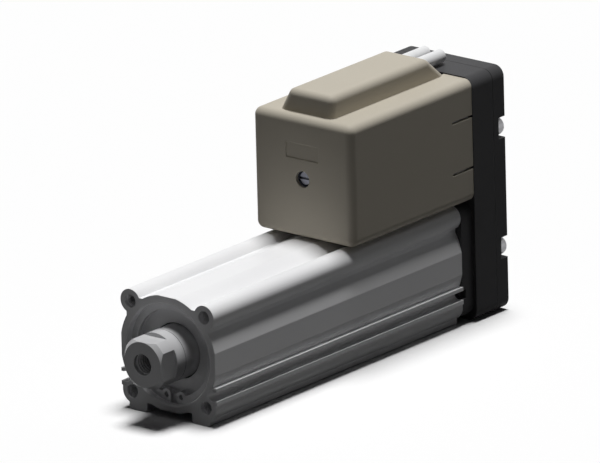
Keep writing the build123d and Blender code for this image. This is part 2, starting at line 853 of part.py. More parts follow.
with BuildPart() as motor_rear_bell:
    add(motor_block(stator_front, rear_bell_length, sliding_fit))
    with BuildSketch(across(stator_front, shaft_distance)):
        Circle(shaft_hole)
    extrude(amount=rear_bell_length, mode=Mode.SUBTRACT)
    with BuildSketch(across(rear_bearing_rear, shaft_distance)):
        Circle(motor_bearing_outer)
    extrude(amount=motor_bearing_width, mode=Mode.SUBTRACT)

with BuildPart() as motor_body_screws:
    for x, z in motor_screw_points:
        add(socket_screw(
            x, rear_bell_front, z, -1, (motor_screw_head_radius, motor_screw_head_height, motor_screw_hexagon),
            (motor_screw_radius, neck_rear - motor_screw_grip - blind_room - rear_bell_front),
        ))

inner_ring_radius = motor_shaft_radius + motor_bearing_race
with BuildPart() as motor_bearing_outer_rings:
    for rear in (front_bearing_rear, rear_bearing_rear):
        extrude(
            annulus(rear, motor_bearing_outer, inner_ring_radius + sliding_fit, shaft_distance),
            amount=motor_bearing_width,
        )
with BuildPart() as motor_bearing_inner_rings:
    for rear in (front_bearing_rear, rear_bearing_rear):
        extrude(
            annulus(rear, inner_ring_radius, motor_shaft_radius, shaft_distance),
            amount=motor_bearing_width,
        )
with BuildPart() as motor_rotor:
    extrude(
        annulus(bell_front - rotor_inset, rotor_radius - rotor_gap, motor_shaft_radius, shaft_distance),
        amount=stator_length - 2 * rotor_inset,
    )

# Shaft with the manual override at its front end, seen through the hole in the cover
override_rear = cap_front + override_length
spigot_front = cap_front + override_head
spigot_radius = motor_shaft_radius / 2
with BuildPart() as motor_shaft:
    revolve(
        half_section([
            (spigot_front, 0),
            (spigot_front, spigot_radius),
            (override_rear, spigot_radius),
            (override_rear, motor_shaft_radius),
            (pulley_rear, motor_shaft_radius),
            (pulley_rear, 0),
        ], shaft_distance),
        axis=motor_axis,
    )
with BuildPart() as override_screw:
    revolve(
        half_section([
            (cap_front, 0),
            (cap_front, override_radius),
            (override_rear, override_radius),
            (override_rear, spigot_radius),
            (spigot_front, spigot_radius),
            (spigot_front, 0),
        ], shaft_distance),
        axis=motor_axis,
    )
    with BuildSketch(across(cap_front + override_slot_depth, shaft_distance)):
        Rectangle(3 * override_radius, override_slot)
    extrude(amount=override_slot_depth, mode=Mode.SUBTRACT)

# Encoder on the motor's front end: cap, board and disc
cap_length = rear_bell_front - cap_front
cap_inner = encoder_cap_side - 2 * encoder_cap_wall
with BuildPart() as encoder_cap:
    with BuildSketch(across(rear_bell_front, shaft_distance)):
        RectangleRounded(encoder_cap_side, encoder_cap_side, encoder_cap_corner)
    extrude(amount=cap_length)
    with BuildSketch(across(rear_bell_front, shaft_distance)):
        RectangleRounded(cap_inner, cap_inner, encoder_cap_corner - encoder_cap_wall)
    extrude(amount=cap_length - encoder_cap_wall, mode=Mode.SUBTRACT)
    with BuildSketch(across(rear_bell_front, shaft_distance)):
        Circle(override_radius + loose_fit)
    extrude(amount=cap_length, mode=Mode.SUBTRACT)
board_rear = override_rear + encoder_board_thickness
with BuildPart() as encoder_board:
    with BuildSketch(across(board_rear, shaft_distance)):
        RectangleRounded(cap_inner, cap_inner, encoder_cap_corner - encoder_cap_wall)
        Circle(motor_shaft_radius + 2 * loose_fit, mode=Mode.SUBTRACT)
    extrude(amount=encoder_board_thickness)
with BuildPart() as encoder_disc:
    disc_rear = board_rear + encoder_disc_gap + encoder_disc_thickness
    extrude(
        annulus(disc_rear, encoder_disc_radius, motor_shaft_radius, shaft_distance),
        amount=encoder_disc_thickness,
    )


# Motor cover, a moulded shell open at the rear, with a hump on top for the leads
def hump_side(z):
    # where the hump's slanting left side is at that height
    return hump_left + hump_lean * (z - cover_top) / (hump_top - cover_top)


def hump_profile(inset, base):
    # front view of the hump down to the base height, inset from its outside
    top = hump_top - inset
    with BuildSketch() as profile:
        with BuildLine():
            Polyline(
                (hump_side(base) + inset, base), (hump_side(top) + inset, top),
                (hump_right - inset, top), (hump_right - inset, base), close=True,
            )
        make_face()
        fillet(profile.vertices().group_by(Axis.Y)[-1], hump_edge - inset)
    return profile.sketch


def hump_block(inset, base, rear):
    front = cover_front + hump_front + inset
    with BuildPart() as block:
        with BuildSketch(across(rear)):
            add(hump_profile(inset, base))
        extrude(amount=rear - front)
        rim = block.faces().sort_by(Axis.Y)[0].edges().sort_by(Axis.Z)[1:]
        fillet(rim, hump_edge - inset - front_edge_relief)
    return block.part


cover_height = cover_top - cover_bottom
cover_middle = (cover_top + cover_bottom) / 2
hump_foot = neck_rear - hump_rear
with BuildPart() as hump_outside:
    add(hump_block(0, cover_top - cover_wall, hump_foot))
    with BuildSketch(Plane.YZ):
        with BuildLine():
            Polyline(
                (hump_foot - hump_slope, hump_top), (hump_foot, cover_top), (hump_foot, hump_top), close=True
            )
        make_face()
    extrude(amount=cover_half_width, both=True, mode=Mode.SUBTRACT)
    slope = hump_outside.faces().filter_by(lambda face: min(face.normal_at().Y, face.normal_at().Z) > 0.1)
    fillet(slope.edges().sort_by(Axis.Z)[1:], hump_slope_edge)

with BuildPart() as motor_cover:
    with BuildSketch(across(neck_rear)):
        with Locations((0, cover_middle)):
            RectangleRounded(2 * cover_half_width, cover_height, cover_edge)
    extrude(amount=cover_length)
    fillet(motor_cover.faces().sort_by(Axis.Y)[0].edges(), cover_edge - front_edge_relief)
    with BuildSketch(across(neck_rear)):
        with Locations((0, cover_middle)):
            RectangleRounded(
                2 * (cover_half_width - cover_wall), cover_height - 2 * cover_wall, cover_edge - cover_wall
            )
    extrude(amount=cover_length - cover_wall, mode=Mode.SUBTRACT)
    add(hump_outside.part)
    # the hump and the wall under it are open at the rear, so that the cover slides on over the leads
    add(hump_block(cover_wall, cover_top - 2 * cover_wall, neck_rear), mode=Mode.SUBTRACT)
    # two slits on each side free a springy tab with a catch bead that snaps into the motor's bell
    with BuildSketch(across(neck_rear)):
        with Locations((0, shaft_distance + tab_height / 2), (0, shaft_distance - tab_height / 2)):
            Rectangle(box_width, tab_slit)
    extrude(amount=tab_length, mode=Mode.SUBTRACT)
    bead_x = cover_half_width - cover_wall - catch_height / 2
    with BuildSketch(across(catch_rear)):
        with Locations((-bead_x, shaft_distance), (bead_x, shaft_distance)):
            Rectangle(catch_height, catch_length)
    extrude(amount=catch_width)
    with BuildSketch(across(cover_front + label_depth)):
        with Locations((0, shaft_distance + label_rise)):
            Rectangle(label_width, label_height)
    extrude(amount=label_depth, mode=Mode.SUBTRACT)
    with BuildSketch(across(cover_front + cover_wall)):
        with Locations((0, shaft_distance)):
            Circle(sight_hole_radius)
    extrude(amount=cover_wall, mode=Mode.SUBTRACT)

# Leads: out of the encoder cap's top, up into the hump and straight back out of it, held by a grommet
lead_x = (lead_centre - lead_spacing / 2, lead_centre + lead_spacing / 2)
lead_foot = shaft_distance + encoder_cap_side / 2
lead_y = cap_front + cap_length / 2
lead_bend = lead_height - lead_foot - lead_bend_room


def lead(x):
    with BuildPart() as cable:
        with BuildLine() as route:
            FilletPolyline(
                (x, lead_y, lead_foot), (x, lead_y, lead_height), (x, lead_end, lead_height),
                radius=lead_bend,
            )
        with BuildSketch(Plane(origin=(x, lead_y, lead_foot), z_dir=(0, 0, 1))):
            Circle(lead_radius)
        sweep(path=route.line)
    return cable.part


with BuildPart() as encoder_lead:
    add(lead(lead_x[0]))
with BuildPart() as motor_lead:
    add(lead(lead_x[1]))

grommet_rear = hump_foot - hump_slope - grommet_setback
with BuildPart() as cable_grommet:
    with BuildSketch(across(grommet_rear)):
        add(hump_profile(cover_wall + grommet_play, shaft_distance + motor_side / 2))
        with Locations((lead_x[0], lead_height), (lead_x[1], lead_height)):
            Circle(lead_radius, mode=Mode.SUBTRACT)
    extrude(amount=grommet_length)

pieces = {
    "tube_body": tube_body,
    "retaining_ring": retaining_ring,
    "rod_cover": rod_cover,
    "cover_o_ring": cover_o_ring,
    "rod_bush": rod_bush,
    "rod_scraper": rod_scraper,
    "front_bumper": front_bumper,
    "rear_bumper": rear_bumper,
    "piston": piston,
    "magnet_ring": magnet_ring,
    "rotation_stopper": rotation_stopper,
    "screw_nut": screw_nut,
    "piston_rod": piston_rod,
    "rod_socket": rod_socket,
    "lead_screw": lead_screw,
    "screw_tip_holder": screw_tip_holder,
    "screw_tip_ring": screw_tip_ring,
    "bearing_housing": bearing_housing,
    "screw_bearing_outer_ring": screw_bearing_outer_ring,
    "screw_bearing_inner_ring": screw_bearing_inner_ring,
    "screw_bearing_balls": screw_bearing_balls,
    "bearing_retainer": bearing_retainer,
    "bearing_lock_nut": bearing_lock_nut,
    "return_box": return_box,
    "return_plate": return_plate,
    "return_plate_screws": return_plate_screws,
    "tube_screws": tube_screws,
    "motor_mount_screws": motor_mount_screws,
    "screw_pulley": screw_pulley,
    "motor_pulley": motor_pulley,
    "screw_pulley_set_screw": screw_pulley_set_screw,
    "motor_pulley_set_screw": motor_pulley_set_screw,
    "timing_belt": timing_belt,
    "motor_front_bell": motor_front_bell,
    "motor_stator": motor_stator,
    "motor_rear_bell": motor_rear_bell,
    "motor_body_screws": motor_body_screws,
    "motor_bearing_outer_rings": motor_bearing_outer_rings,
    "motor_bearing_inner_rings": motor_bearing_inner_rings,
    "motor_rotor": motor_rotor,
    "motor_shaft": motor_shaft,
    "override_screw": override_screw,
    "encoder_cap": encoder_cap,
    "encoder_board": encoder_board,
    "encoder_disc": encoder_disc,
    "motor_cover": motor_cover,
    "encoder_lead": encoder_lead,
    "motor_lead": motor_lead,
    "cable_grommet": cable_grommet,
}
os.makedirs("parts", exist_ok=True)
for name, piece in pieces.items():
    piece.part.label = name
    export_step(piece.part, f"parts/{name}.step")
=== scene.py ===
import bpy
import json
import math
from mathutils import Matrix, Vector


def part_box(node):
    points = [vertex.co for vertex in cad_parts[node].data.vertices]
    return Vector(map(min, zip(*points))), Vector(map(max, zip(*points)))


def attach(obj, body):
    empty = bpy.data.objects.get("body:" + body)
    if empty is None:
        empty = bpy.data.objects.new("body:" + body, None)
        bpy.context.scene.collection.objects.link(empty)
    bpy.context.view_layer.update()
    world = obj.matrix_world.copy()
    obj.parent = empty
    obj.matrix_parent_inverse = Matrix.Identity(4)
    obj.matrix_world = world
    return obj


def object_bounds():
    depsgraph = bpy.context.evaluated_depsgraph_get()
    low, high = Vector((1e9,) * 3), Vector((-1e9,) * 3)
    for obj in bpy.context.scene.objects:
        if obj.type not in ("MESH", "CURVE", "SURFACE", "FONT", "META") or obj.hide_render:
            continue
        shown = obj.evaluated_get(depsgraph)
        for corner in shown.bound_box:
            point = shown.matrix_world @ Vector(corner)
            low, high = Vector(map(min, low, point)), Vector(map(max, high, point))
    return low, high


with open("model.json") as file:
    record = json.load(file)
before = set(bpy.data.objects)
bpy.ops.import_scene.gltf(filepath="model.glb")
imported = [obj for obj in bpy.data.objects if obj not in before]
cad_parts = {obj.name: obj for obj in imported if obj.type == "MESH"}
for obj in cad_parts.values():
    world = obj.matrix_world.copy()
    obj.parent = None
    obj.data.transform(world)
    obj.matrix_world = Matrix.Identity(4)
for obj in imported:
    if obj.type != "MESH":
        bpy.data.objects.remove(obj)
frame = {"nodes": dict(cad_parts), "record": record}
cadBox = [list(corner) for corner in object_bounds()]
mm = 0.001
print("stage 1: the actuator's CAD bodies are loaded")


# Small helpers for shader trees

grainLook = {"fineDetail": 4.0, "fineRoughness": 0.6, "broadDetail": 2.0}
toolMarkLook = {"waver": 0.6, "detail": 1.0}
# an edge gets its painted highlight and wear by how far its rounded normal agrees with the flat one
edgeHighlightAndWear = {"samples": 6, "fullyHighlightedAndWorn": 0.80, "neitherHighlightedNorWorn": 0.985}
seamCore = 0.6  # the share of a joint line that is fully dark


def startMaterial(name):
    material = bpy.data.materials.new(name)
    material.use_nodes = True
    return material, material.node_tree


def objectPlace(tree, stretch=(1, 1, 1)):
    # object coordinates in metres, stretched per axis
    coords = tree.nodes.new("ShaderNodeTexCoord")
    mapping = tree.nodes.new("ShaderNodeMapping")
    mapping.inputs["Scale"].default_value = stretch
    tree.links.new(coords.outputs["Object"], mapping.inputs["Vector"])
    return mapping.outputs["Vector"]


def addNoise(tree, place, scale, detail, rough=0.5):
    noise = tree.nodes.new("ShaderNodeTexNoise")
    noise.inputs["Scale"].default_value = scale
    noise.inputs["Detail"].default_value = detail
    noise.inputs["Roughness"].default_value = rough
    tree.links.new(place, noise.inputs["Vector"])
    return noise.outputs["Fac"]


def spread(tree, value, low, high, fromLow=0.3, fromHigh=0.7):
    # maps a value to a range of roughness, mask or height
    node = tree.nodes.new("ShaderNodeMapRange")
    node.inputs["From Min"].default_value = fromLow
    node.inputs["From Max"].default_value = fromHigh
    node.inputs["To Min"].default_value = low
    node.inputs["To Max"].default_value = high
    tree.links.new(value, node.inputs["Value"])
    return node.outputs["Result"]


def blendColours(tree, factor, first, second):
    # each of the two is a fixed colour or another node's output
    mix = tree.nodes.new("ShaderNodeMix")
    mix.data_type = "RGBA"
    for entry, colour in (("A", first), ("B", second)):
        if isinstance(colour, tuple):
            mix.inputs[entry].default_value = (*colour, 1)
        else:
            tree.links.new(colour, mix.inputs[entry])
    tree.links.new(factor, mix.inputs["Factor"])
    return mix.outputs["Result"]


def addBump(tree, height, strength, distance, below):
    bump = tree.nodes.new("ShaderNodeBump")
    bump.inputs["Strength"].default_value = strength
    bump.inputs["Distance"].default_value = distance
    tree.links.new(height, bump.inputs["Height"])
    tree.links.new(below, bump.inputs["Normal"])
    return bump.outputs["Normal"]


def turnedLines(tree, look):
    # fine rings about the Y axis, or bands along it, as a lathe tool leaves them
    wave = tree.nodes.new("ShaderNodeTexWave")
    wave.wave_type = look["lines"]
    if look["lines"] == "RINGS":
        wave.rings_direction = "Y"
    else:
        wave.bands_direction = "Y"
    wave.inputs["Scale"].default_value = look["lineScale"]
    wave.inputs["Distortion"].default_value = toolMarkLook["waver"]
    wave.inputs["Detail"].default_value = toolMarkLook["detail"]
    tree.links.new(objectPlace(tree), wave.inputs["Vector"])
    return wave.outputs["Fac"]


def highlightedWornEdge(tree, radius):
    # a normal that rounds sharp edges off, and a mask that is 1 along them, which carries the painted edge
    # highlight and wear
    bevel = tree.nodes.new("ShaderNodeBevel")
    bevel.samples = edgeHighlightAndWear["samples"]
    bevel.inputs["Radius"].default_value = radius
    surface = tree.nodes.new("ShaderNodeNewGeometry")
    compare = tree.nodes.new("ShaderNodeVectorMath")
    compare.operation = "DOT_PRODUCT"
    tree.links.new(bevel.outputs["Normal"], compare.inputs[0])
    tree.links.new(surface.outputs["Normal"], compare.inputs[1])
    mask = spread(tree, compare.outputs["Value"], 1.0, 0.0, edgeHighlightAndWear["fullyHighlightedAndWorn"], edgeHighlightAndWear["neitherHighlightedNorWorn"])
    return bevel.outputs["Normal"], mask


def mathNode(tree, operation, *values):
    # each value is a number or another node's output
    node = tree.nodes.new("ShaderNodeMath")
    node.operation = operation
    for index, value in enumerate(values):
        if isinstance(value, (int, float)):
            node.inputs[index].default_value = value
        else:
            tree.links.new(value, node.inputs[index])
    return node.outputs["Value"]


def seamMask(tree, seam):
    # 1 on the fine joint line, which is where the named node starts along Y
    split = tree.nodes.new("ShaderNodeSeparateXYZ")
    tree.links.new(objectPlace(tree), split.inputs["Vector"])
    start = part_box(seam["startOf"])[0].y
    away = mathNode(tree, "ABSOLUTE", mathNode(tree, "SUBTRACT", split.outputs["Y"], start))
    return spread(tree, away, 1.0, 0.0, seam["halfWidth"] * seamCore, seam["halfWidth"])


def grainFinish(name, look):
    # a finish with a soft colour drift, a fine grain in the bump, an uneven sheen, and edges made lighter by
    # a painted highlight that is partly wear
    material, tree = startMaterial(name)
    shader = tree.nodes["Principled BSDF"]
    shader.inputs["Metallic"].default_value = look["metallic"]
    shader.inputs["Specular IOR Level"].default_value = look.get("specular", 0.5)
    finePlace = objectPlace(tree, look.get("stretch", (1, 1, 1)))
    fine = addNoise(tree, finePlace, look["grainScale"], grainLook["fineDetail"], grainLook["fineRoughness"])
    broad = addNoise(tree, objectPlace(tree), look["driftScale"], grainLook["broadDetail"])
    colour = blendColours(tree, spread(tree, broad, 0.0, 1.0), look["colour"], look["drift"])
    softNormal, edge = highlightedWornEdge(tree, look["edgeRadius"])
    # the edges are painted lighter: partly a painted highlight, partly wear
    colour = blendColours(tree, edge, colour, look["edgeColour"])
    if "seam" in look:
        colour = blendColours(tree, seamMask(tree, look["seam"]), colour, look["seam"]["colour"])
    tree.links.new(colour, shader.inputs["Base Color"])
    sheen = spread(tree, fine, look["roughness"][0], look["roughness"][1])
    tree.links.new(sheen, shader.inputs["Roughness"])
    grain = addBump(tree, fine, look["bumpStrength"], look["bumpDepth"], softNormal)
    if "lines" in look:
        grain = addBump(tree, turnedLines(tree, look), look["lineStrength"], look["lineDepth"], grain)
    tree.links.new(grain, shader.inputs["Normal"])
    return material


# What each finish looks like. Scales are per metre, and depths, radii and widths in metres

# each edgeColour is a painted highlight along the edges, partly wear
finishes = {
    "clearAnodised": {
        "colour": (0.88, 0.88, 0.885), "drift": (0.85, 0.85, 0.86), "metallic": 0.02, "specular": 0.1,
        "roughness": (0.34, 0.46), "grainScale": 1600, "stretch": (1, 0.012, 1), "driftScale": 25,
        "bumpStrength": 0.5, "bumpDepth": 0.00006,
        "edgeRadius": 0.0002, "edgeColour": (0.90, 0.90, 0.905),
        "nodes": ["tube_body"],
    },
    "blackAnodised": {
        "colour": (0.064, 0.064, 0.066), "drift": (0.074, 0.074, 0.077), "metallic": 0.0, "specular": 0.03,
        "roughness": (0.42, 0.56), "grainScale": 3000, "driftScale": 40,
        "bumpStrength": 0.5, "bumpDepth": 0.00006,
        "edgeRadius": 0.0003, "edgeColour": (0.15, 0.15, 0.155),
        "seam": {"startOf": "return_plate", "halfWidth": 0.00016, "colour": (0.008, 0.008, 0.008)},
        "nodes": ["return_box", "return_plate", "bearing_housing"],
    },
    "coverPlastic": {
        "colour": (0.53, 0.49, 0.41), "drift": (0.51, 0.47, 0.392), "metallic": 0.0, "specular": 0.12,
        "roughness": (0.46, 0.64), "grainScale": 2500, "driftScale": 18,
        "bumpStrength": 0.6, "bumpDepth": 0.00009,
        "edgeRadius": 0.0004, "edgeColour": (0.60, 0.56, 0.475),
        "nodes": ["motor_cover"],
    },
    "turnedAluminium": {
        "colour": (0.74, 0.74, 0.75), "drift": (0.69, 0.69, 0.70), "metallic": 0.03, "specular": 0.1,
        "roughness": (0.30, 0.42), "grainScale": 1500, "driftScale": 60,
        "bumpStrength": 0.25, "bumpDepth": 0.00002,
        "edgeRadius": 0.0002, "edgeColour": (0.84, 0.84, 0.85),
        "lines": "RINGS", "lineScale": 900, "lineStrength": 0.25, "lineDepth": 0.00001,
        "nodes": ["rod_cover", "piston", "screw_tip_holder", "encoder_disc", "screw_pulley", "motor_pulley"],
    },
    "hardChrome": {
        "colour": (0.60, 0.60, 0.61), "drift": (0.55, 0.55, 0.56), "metallic": 0.04, "specular": 0.12,
        "roughness": (0.16, 0.26), "grainScale": 1800, "stretch": (0.15, 1, 0.15), "driftScale": 80,
        "bumpStrength": 0.12, "bumpDepth": 0.00001,
        "edgeRadius": 0.0002, "edgeColour": (0.74, 0.74, 0.75),
        "lines": "BANDS", "lineScale": 1400, "lineStrength": 0.15, "lineDepth": 0.000005,
        "seam": {"startOf": "piston_rod", "halfWidth": 0.00014, "colour": (0.05, 0.05, 0.052)},
        "nodes": ["piston_rod", "rod_socket"],
    },
    "phosphatedSteel": {
        "colour": (0.62, 0.62, 0.63), "drift": (0.54, 0.54, 0.55), "metallic": 0.06, "specular": 0.15,
        "roughness": (0.32, 0.5), "grainScale": 1800, "driftScale": 220,
        "bumpStrength": 0.25, "bumpDepth": 0.00002,
        "edgeRadius": 0.00015, "edgeColour": (0.74, 0.74, 0.75),
        "nodes": ["retaining_ring"],
    },
    "zincSteel": {
        "colour": (0.72, 0.72, 0.74), "drift": (0.66, 0.66, 0.68), "metallic": 0.3, "specular": 0.3,
        "roughness": (0.28, 0.38), "grainScale": 1600, "driftScale": 240,
        "bumpStrength": 0.1, "bumpDepth": 0.00001,
        "edgeRadius": 0.0002, "edgeColour": (0.80, 0.81, 0.83),
        "nodes": ["return_plate_screws", "tube_screws", "motor_mount_screws", "motor_body_screws",
                  "screw_pulley_set_screw", "motor_pulley_set_screw"],
    },
    "groundSteel": {
        "colour": (0.62, 0.62, 0.63), "drift": (0.56, 0.56, 0.57), "metallic": 0.9,
        "roughness": (0.18, 0.3), "grainScale": 2400, "stretch": (1, 0.1, 1), "driftScale": 120,
        "bumpStrength": 0.12, "bumpDepth": 0.00001,
        "edgeRadius": 0.0002, "edgeColour": (0.74, 0.74, 0.75),
        "nodes": ["lead_screw", "screw_nut", "motor_shaft", "screw_bearing_outer_ring",
                  "screw_bearing_inner_ring", "screw_bearing_balls", "motor_bearing_outer_rings",
                  "motor_bearing_inner_rings", "bearing_retainer", "bearing_lock_nut"],
    },
    "castBell": {
        "colour": (0.52, 0.52, 0.53), "drift": (0.45, 0.45, 0.46), "metallic": 0.7,
        "roughness": (0.42, 0.6), "grainScale": 1400, "driftScale": 90,
        "bumpStrength": 0.4, "bumpDepth": 0.00004,
        "edgeRadius": 0.0003, "edgeColour": (0.62, 0.62, 0.63),
        "nodes": ["motor_front_bell", "motor_rear_bell"],
    },
    "motorLaminations": {
        "colour": (0.03, 0.03, 0.033), "drift": (0.05, 0.05, 0.055), "metallic": 0.4,
        "roughness": (0.4, 0.6), "grainScale": 2000, "stretch": (0.05, 1, 0.05), "driftScale": 80,
        "bumpStrength": 0.5, "bumpDepth": 0.00004,
        "edgeRadius": 0.0002, "edgeColour": (0.12, 0.12, 0.125),
        "nodes": ["motor_stator", "motor_rotor"],
    },
    "blackRubber": {
        "colour": (0.018, 0.018, 0.018), "drift": (0.028, 0.028, 0.027), "metallic": 0.0, "specular": 0.25,
        "roughness": (0.62, 0.78), "grainScale": 2600, "driftScale": 120,
        "bumpStrength": 0.4, "bumpDepth": 0.00003,
        "edgeRadius": 0.0003, "edgeColour": (0.03, 0.03, 0.03),
        "nodes": ["cover_o_ring", "rod_scraper", "front_bumper", "rear_bumper", "timing_belt",
                  "cable_grommet"],
    },
    "sinteredBronze": {
        "colour": (0.42, 0.27, 0.11), "drift": (0.34, 0.22, 0.09), "metallic": 0.85,
        "roughness": (0.35, 0.5), "grainScale": 3000, "driftScale": 150,
        "bumpStrength": 0.3, "bumpDepth": 0.00002,
        "edgeRadius": 0.0002, "edgeColour": (0.52, 0.35, 0.16),
        "nodes": ["rod_bush"],
    },
    "bondedMagnet": {
        "colour": (0.05, 0.05, 0.052), "drift": (0.075, 0.075, 0.08), "metallic": 0.2,
        "roughness": (0.5, 0.66), "grainScale": 2600, "driftScale": 150,
        "bumpStrength": 0.3, "bumpDepth": 0.00002,
        "edgeRadius": 0.0002, "edgeColour": (0.09, 0.09, 0.095),
        "nodes": ["magnet_ring"],
    },
    "slidePlastic": {
        "colour": (0.70, 0.68, 0.60), "drift": (0.64, 0.62, 0.54), "metallic": 0.0, "specular": 0.4,
        "roughness": (0.42, 0.56), "grainScale": 1800, "driftScale": 120,
        "bumpStrength": 0.2, "bumpDepth": 0.00002,
        "edgeRadius": 0.0003, "edgeColour": (0.76, 0.74, 0.67),
        "nodes": ["rotation_stopper", "screw_tip_ring"],
    },
    "encoderPlastic": {
        "colour": (0.055, 0.06, 0.085), "drift": (0.07, 0.075, 0.10), "metallic": 0.0, "specular": 0.4,
        "roughness": (0.42, 0.56), "grainScale": 2200, "driftScale": 90,
        "bumpStrength": 0.25, "bumpDepth": 0.00002,
        "edgeRadius": 0.0003, "edgeColour": (0.10, 0.105, 0.135),
        "nodes": ["encoder_cap"],
    },
    "overrideSteel": {
        "colour": (0.16, 0.165, 0.20), "drift": (0.20, 0.205, 0.24), "metallic": 0.6,
        "roughness": (0.3, 0.45), "grainScale": 1800, "driftScale": 200,
        "bumpStrength": 0.2, "bumpDepth": 0.00001,
        "edgeRadius": 0.00015, "edgeColour": (0.34, 0.345, 0.38),
        "nodes": ["override_screw"],
    },
    "circuitBoard": {
        "colour": (0.02, 0.12, 0.05), "drift": (0.03, 0.15, 0.065), "metallic": 0.0,
        "roughness": (0.3, 0.45), "grainScale": 2000, "driftScale": 200,
        "bumpStrength": 0.2, "bumpDepth": 0.00001,
        "edgeRadius": 0.0001, "edgeColour": (0.10, 0.16, 0.07),
        "nodes": ["encoder_board"],
    },
    "leadJacket": {
        "colour": (0.84, 0.845, 0.85), "drift": (0.79, 0.795, 0.80), "metallic": 0.0, "specular": 0.4,
        "roughness": (0.38, 0.5), "grainScale": 1600, "stretch": (1, 0.25, 1), "driftScale": 110,
        "bumpStrength": 0.25, "bumpDepth": 0.00003,
        "edgeRadius": 0.0003, "edgeColour": (0.88, 0.885, 0.89),
        "nodes": ["encoder_lead", "motor_lead"],
    },
    "fillerPaper": {
        "colour": (0.30, 0.28, 0.25), "drift": (0.24, 0.225, 0.20), "metallic": 0.0, "specular": 0.2,
        "roughness": (0.7, 0.85), "grainScale": 4000, "driftScale": 900,
        "bumpStrength": 0.5, "bumpDepth": 0.00003,
        "edgeRadius": 0.0001, "edgeColour": (0.34, 0.32, 0.29),
        "nodes": [],
    },
    "coreInsulation": {
        "colour": (0.16, 0.17, 0.19), "drift": (0.13, 0.14, 0.16), "metallic": 0.0, "specular": 0.4,
        "roughness": (0.38, 0.5), "grainScale": 3000, "driftScale": 500,
        "bumpStrength": 0.2, "bumpDepth": 0.00001,
        "edgeRadius": 0.0001, "edgeColour": (0.22, 0.23, 0.25),
        "nodes": [],
    },
    "tinnedCopper": {
        "colour": (0.56, 0.36, 0.24), "drift": (0.50, 0.31, 0.20), "metallic": 0.8,
        "roughness": (0.25, 0.4), "grainScale": 6000, "driftScale": 1500,
        "bumpStrength": 0.5, "bumpDepth": 0.00002,
        "edgeRadius": 0.00008, "edgeColour": (0.66, 0.45, 0.32),
        "nodes": [],
    },
}

materials = {}
for finishName, look in finishes.items():
    materials[finishName] = grainFinish(finishName, look)
    for nodeName in look["nodes"]:
        mesh = frame["nodes"][nodeName].data
        mesh.materials.clear()
        mesh.materials.append(materials[finishName])
print("stage 2: finishes are on all the CAD nodes")


# Helpers for the trees that grow small parts at the points of a mesh

def startTree(name, pointsLabel, sizeLabels):
    tree = bpy.data.node_groups.new(name, "GeometryNodeTree")
    tree.interface.new_socket(pointsLabel, in_out="INPUT", socket_type="NodeSocketGeometry")
    for label in sizeLabels:
        tree.interface.new_socket(label, in_out="INPUT", socket_type="NodeSocketFloat")
    return tree


def linkNodes(tree, source, output, target, entry):
    tree.links.new(source.outputs[output], target.inputs[entry])


def endTree(tree, shape, finish):
    # every tree ends in real geometry with its finish on it
    tree.interface.new_socket("Geometry", in_out="OUTPUT", socket_type="NodeSocketGeometry")
    realize = tree.nodes.new("GeometryNodeRealizeInstances")
    setFinish = tree.nodes.new("GeometryNodeSetMaterial")
    setFinish.inputs["Material"].default_value = finish
    out = tree.nodes.new("NodeGroupOutput")
    linkNodes(tree, shape, "Instances", realize, "Geometry")
    linkNodes(tree, realize, "Geometry", setFinish, "Geometry")
    linkNodes(tree, setFinish, "Geometry", out, "Geometry")


def growPiece(name, tree, points, values, body):
    # the finished mesh has its place in it, so its object stays at the origin
    seedMesh = bpy.data.meshes.new(name + "Points")
    seedMesh.from_pydata([tuple(point) for point in points], [], [])
    seed = bpy.data.objects.new(name + "Points", seedMesh)
    bpy.context.scene.collection.objects.link(seed)
    modifier = seed.modifiers.new("grow", "NODES")
    modifier.node_group = tree
    for item in tree.interface.items_tree:
        if item.item_type == "SOCKET" and item.in_out == "INPUT" and item.name in values:
            modifier[item.identifier] = values[item.name]
    ready = seed.evaluated_get(bpy.context.evaluated_depsgraph_get())
    mesh = bpy.data.meshes.new_from_object(ready)
    mesh.name = name
    seed.modifiers.remove(modifier)
    bpy.data.objects.remove(seed)
    piece = bpy.data.objects.new(name, mesh)
    bpy.context.scene.collection.objects.link(piece)
    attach(piece, body)
    return piece


# Screw threads in the holes that other things are fastened to. Sizes are in millimetres

threadLook = {"stepsPerTurn": 40, "ridgeSides": 4, "ridgeShare": 0.46, "endShare": 0.04}
threadSets = {
    "rod_end_thread": {
        "mount": "rod_end_thread", "pitch": 1.25, "entry": 1.4, "end": 12.0,
        "body": "rod", "finish": "hardChrome", "slot": "hard_chrome",
    },
    "front_hole_threads": {
        "mount": "front_bolts", "pitch": 0.8, "entry": 1.3, "end": 11.2,
        "body": "housing", "finish": "clearAnodised", "slot": "extruded_aluminium",
    },
    "foot_hole_threads": {
        "mount": "foot_bolts", "pitch": 0.8, "entry": 0.9, "end": 5.8,
        "body": "housing", "finish": "clearAnodised", "slot": "extruded_aluminium",
    },
}


def holeMouths(mount):
    # the middle of each hole's mouth, the way out of the hole, and its radius
    outward = Vector(mount["axis"])
    middle = Vector(mount["pos_m"])
    dims = mount["dims"]
    if mount["kind"] == "threaded_hole":
        return [middle + outward * dims["length_mm"] / 2 * mm], outward, dims["r_mm"] * mm
    across = Vector((1, 0, 0))
    halfAcross = across * dims["spacing_x_mm"] / 2 * mm
    halfAlong = outward.cross(across) * dims["spacing_y_mm"] / 2 * mm
    mouths = [middle + halfAcross * i + halfAlong * j for i in (-1, 1) for j in (-1, 1)]
    return mouths, outward, dims["hole_r_mm"] * mm


